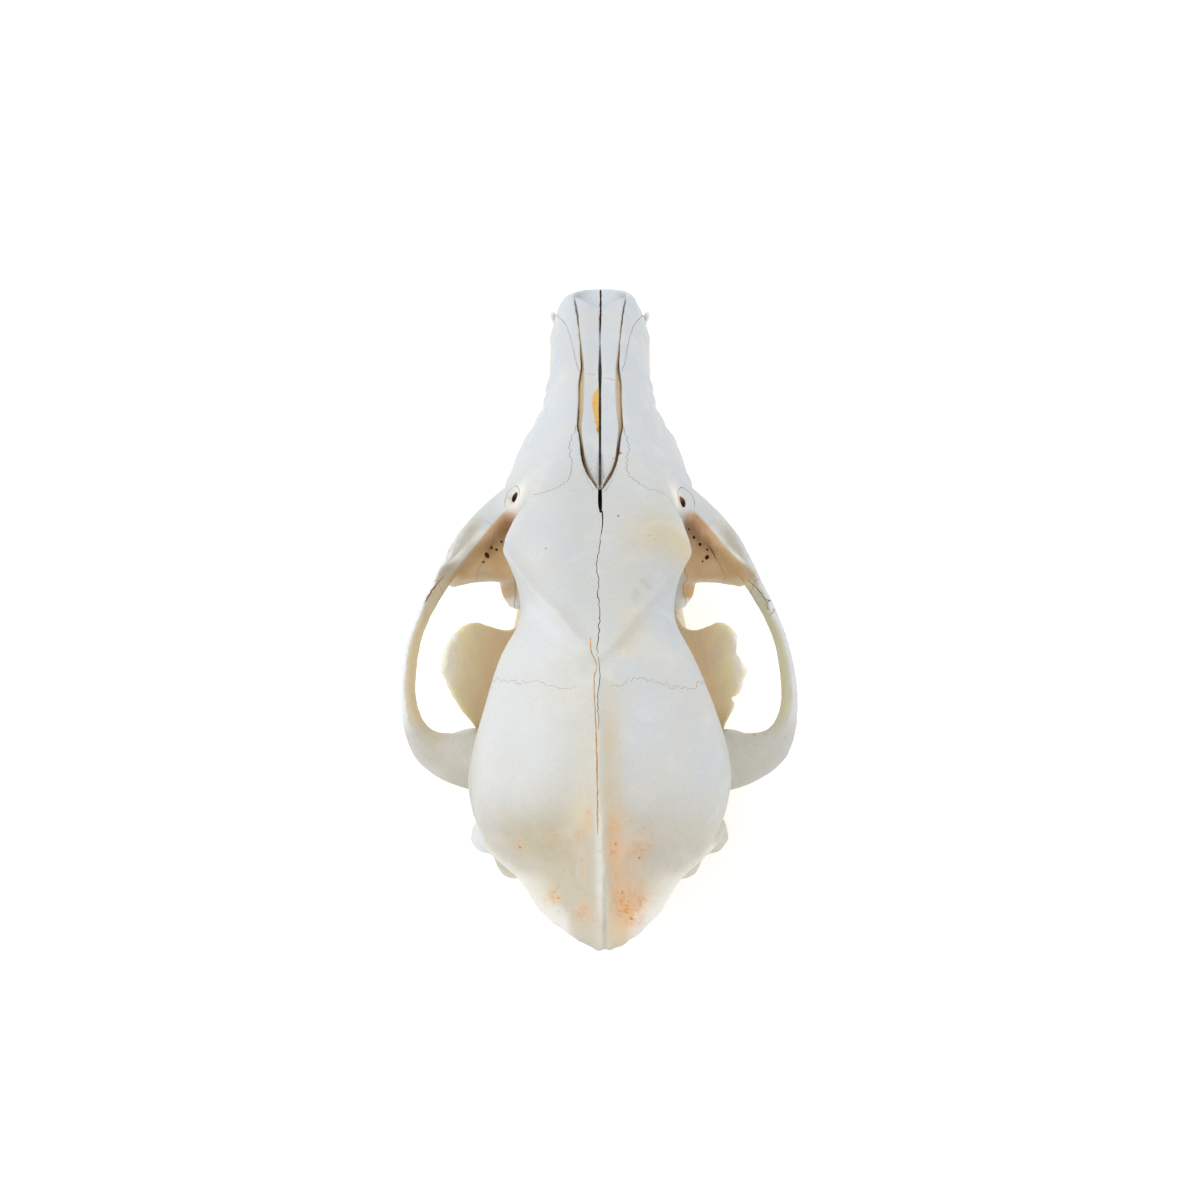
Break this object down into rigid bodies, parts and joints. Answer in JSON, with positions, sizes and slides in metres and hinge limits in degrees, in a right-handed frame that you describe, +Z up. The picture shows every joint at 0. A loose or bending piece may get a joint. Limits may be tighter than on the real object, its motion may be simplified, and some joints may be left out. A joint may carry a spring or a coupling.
{
  "type": "coyote skull",
  "caption": "Adult canid skull with its lower jaw closed, a long muzzle, wide cheek arches and a domed braincase, standing on the lower jaw.",
  "frame": {"origin": "centre of the box's underside, on the floor below the middle of the skull", "axes": "+Z up, -Y towards the muzzle, +X to the skull's left; X = 0 is the skull's midline"},
  "size_m": [0.1022, 0.2023, 0.0821],
  "materials": {
    "skull_bone": "cleaned bone, warm white, matt",
    "muzzle_bone": "cleaned bone, cool white, satin",
    "jaw_bone": "cleaned bone, tan, matt",
    "enamel": "tooth enamel, glossy"
  },
  "bodies": {
    "root": {"braincase": "skull_bone", "rostrum": "muzzle_bone", "nasal_left": "muzzle_bone", "nasal_right": "muzzle_bone", "zygomatic_left": "skull_bone", "zygomatic_right": "skull_bone", "mandible_left": "jaw_bone", "mandible_right": "jaw_bone"}
  },
  "joints": []
}
